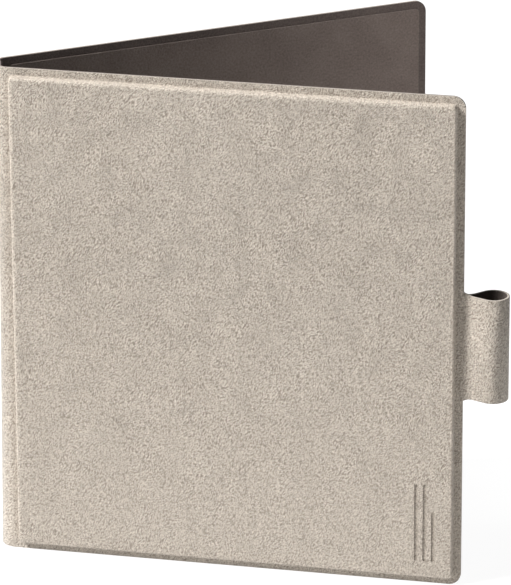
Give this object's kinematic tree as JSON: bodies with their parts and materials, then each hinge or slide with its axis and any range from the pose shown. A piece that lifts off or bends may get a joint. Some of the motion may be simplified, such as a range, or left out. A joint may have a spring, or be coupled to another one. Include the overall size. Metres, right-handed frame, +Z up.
{
  "type": "e-reader in a folio case",
  "caption": "Book-style magnetic folio with raised leatherette panels and a pen loop, holding a slim e-reader with page keys, standing part open.",
  "frame": {"origin": "middle of the whole object's box, at the floor that its lower edges stand on", "axes": "+Z up along the spine; +X from the spine to the back cover's free edge; +Y from the back cover into the space between the covers"},
  "size_m": [0.1624, 0.0956, 0.161],
  "materials": {
    "leatherette_sand": "pebbled, matt",
    "microfibre_brown": "brushed, matt",
    "grey_board": "smooth, matt",
    "magnet_nickel": "nickel plated",
    "shell_plastic": "fine spark texture",
    "frame_magnesium": "die cast",
    "steel_sheet": "plain",
    "screw_steel": "blackened",
    "lens_glass": "etched, anti-glare",
    "clear_acrylic": "clear",
    "epaper_sheet": "paper white",
    "foam_tape": "soft, matt",
    "circuit_green": "solder mask",
    "flex_amber": "polyimide",
    "chip_black": "moulded epoxy",
    "battery_foil": "foil pouch"
  },
  "bodies": {
    "back_cover": {"back_skin": "leatherette_sand", "back_board": "grey_board", "back_lining": "microfibre_brown", "back_magnets": "magnet_nickel", "pen_loop": "leatherette_sand"},
    "spine": {"spine_skin": "leatherette_sand", "spine_lining": "microfibre_brown"},
    "front_cover": {"front_skin": "leatherette_sand", "front_board": "grey_board", "front_lining": "microfibre_brown", "front_magnets": "magnet_nickel"},
    "page_up": {"page_up_key": "shell_plastic"},
    "page_down": {"page_down_key": "shell_plastic"},
    "power": {"power_key": "shell_plastic"},
    "reader": {"rear_shell": "shell_plastic", "mid_frame": "frame_magnesium", "front_bezel": "shell_plastic", "front_lens": "lens_glass", "touch_film": "clear_acrylic", "light_guide": "clear_acrylic", "light_bar": "flex_amber", "epaper_panel": "epaper_sheet", "panel_tape": "foam_tape", "display_flex": "flex_amber", "main_board": "circuit_green", "processor": "chip_black", "shield_can": "steel_sheet", "wake_sensor": "chip_black", "microphone": "steel_sheet", "usb_port": "steel_sheet", "speaker_top": "chip_black", "speaker_bottom": "chip_black", "battery": "battery_foil", "battery_lead": "flex_amber", "reader_magnets": "magnet_nickel", "closing_magnets": "magnet_nickel", "case_screws": "screw_steel", "key_board": "circuit_green", "key_domes": "steel_sheet", "power_switch": "chip_black"}
  },
  "joints": [
    {"name": "back_fold", "type": "hinge", "parent": "back_cover", "child": "spine", "pos_m": [-0.07821, -0.04445, 0.0805], "axis": [0, 0, 1], "range_deg": [-17.7, 162.3]},
    {"name": "front_fold", "type": "hinge", "parent": "spine", "child": "front_cover", "pos_m": [-0.08059, -0.03702, 0.0805], "axis": [0, 0, 1], "range_deg": [-17.7, 162.3]},
    {"name": "reader_lift", "type": "slide", "parent": "back_cover", "child": "reader", "axis": [0, 0, 1], "range_m": [0, 0.165]},
    {"name": "page_up_press", "type": "slide", "parent": "reader", "child": "page_up", "axis": [0, -1, 0], "range_m": [0, 0.0004], "stiffness_N_per_m": 2500, "springref_m": -0.0001},
    {"name": "page_down_press", "type": "slide", "parent": "reader", "child": "page_down", "axis": [0, -1, 0], "range_m": [0, 0.0004], "stiffness_N_per_m": 2500, "springref_m": -0.0001},
    {"name": "power_press", "type": "slide", "parent": "reader", "child": "power", "axis": [0, 0, -1], "range_m": [0, 0.0004], "stiffness_N_per_m": 2500, "springref_m": -0.0001}
  ],
  "couplings": [
    {"joint": "front_fold", "follows": "back_fold", "ratio": 1}
  ]
}
